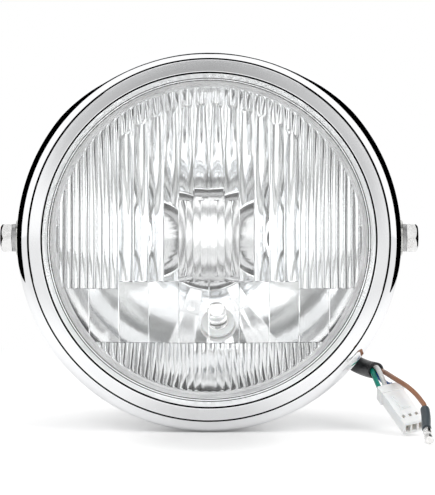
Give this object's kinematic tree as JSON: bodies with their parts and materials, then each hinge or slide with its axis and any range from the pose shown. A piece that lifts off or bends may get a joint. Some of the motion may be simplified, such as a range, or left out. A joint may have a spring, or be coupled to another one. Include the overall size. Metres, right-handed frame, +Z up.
{
  "type": "motorcycle headlight",
  "caption": "Round side-mounted motorcycle headlight with a chromed bowl and rim, a fluted glass lens over a shielded bulb and a mirror, side bolts, and leads to a plug and a bullet terminal.",
  "frame": {"origin": "on the lamp's axis, midway between the two side bolts", "axes": "-Y is the way the lamp shines, +X runs along the side bolts to the side where the leads leave, +Z up"},
  "size_m": [0.1992, 0.155, 0.178],
  "materials": {
    "bowl_chrome": "bright chrome plate on deep-drawn steel",
    "rim_chrome": "bright chrome plate, polished",
    "plated_steel": "zinc-plated pressed steel",
    "bolt_zinc": "zinc-plated steel, satin",
    "black_steel": "blackened spring steel",
    "lens_glass": "clear pressed glass, fluted inside",
    "black_rubber": "matt black rubber",
    "mirror_coating": "vacuum-coated aluminium, bright",
    "shield_chrome": "bright plated steel",
    "bulb_glass": "clear blown glass",
    "tungsten": "drawn tungsten wire on nickel supports",
    "brass": "stamped brass",
    "brown_plastic": "moulded thermoset",
    "black_vinyl": "soft extruded vinyl",
    "green_vinyl": "extruded vinyl",
    "white_vinyl": "extruded vinyl",
    "blue_vinyl": "extruded vinyl",
    "brown_vinyl": "extruded vinyl",
    "grey_vinyl": "soft extruded vinyl",
    "white_nylon": "moulded nylon",
    "tin_plate": "tin-plated stamping"
  },
  "bodies": {
    "root": {"bowl": "bowl_chrome", "rim": "rim_chrome", "rim_hook": "plated_steel", "rim_brackets": "plated_steel", "rim_nuts": "plated_steel", "rim_screws": "plated_steel", "lens": "lens_glass", "lens_gasket": "black_rubber", "reflector": "mirror_coating", "retainer_clips": "plated_steel", "bulb_shield": "shield_chrome", "shield_rivets": "shield_chrome", "main_bulb_glass": "bulb_glass", "bulb_filaments": "tungsten", "bulb_base": "tin_plate", "bulb_holder": "brown_plastic", "holder_terminals": "brass", "bulb_collar": "shield_chrome", "dust_boot": "black_rubber", "side_bulb": "bulb_glass", "side_bulb_socket": "tin_plate", "side_bulb_grommet": "white_nylon", "left_boss": "bowl_chrome", "right_boss": "bowl_chrome", "left_weld_nut": "plated_steel", "right_weld_nut": "plated_steel", "left_washer": "plated_steel", "right_washer": "plated_steel", "left_spring_washer": "black_steel", "right_spring_washer": "black_steel", "left_bolt": "bolt_zinc", "right_bolt": "bolt_zinc", "wire_grommet": "black_rubber", "wire_sleeve": "black_vinyl", "inner_green_wire": "green_vinyl", "inner_white_wire": "white_vinyl", "inner_blue_wire": "blue_vinyl", "inner_brown_wire": "brown_vinyl", "green_wire": "green_vinyl", "white_wire": "white_vinyl", "blue_wire": "blue_vinyl", "brown_wire": "brown_vinyl", "plug_housing": "white_nylon", "plug_terminals": "brass", "bullet_sleeve": "grey_vinyl", "bullet_terminal": "tin_plate"}
  },
  "joints": []
}
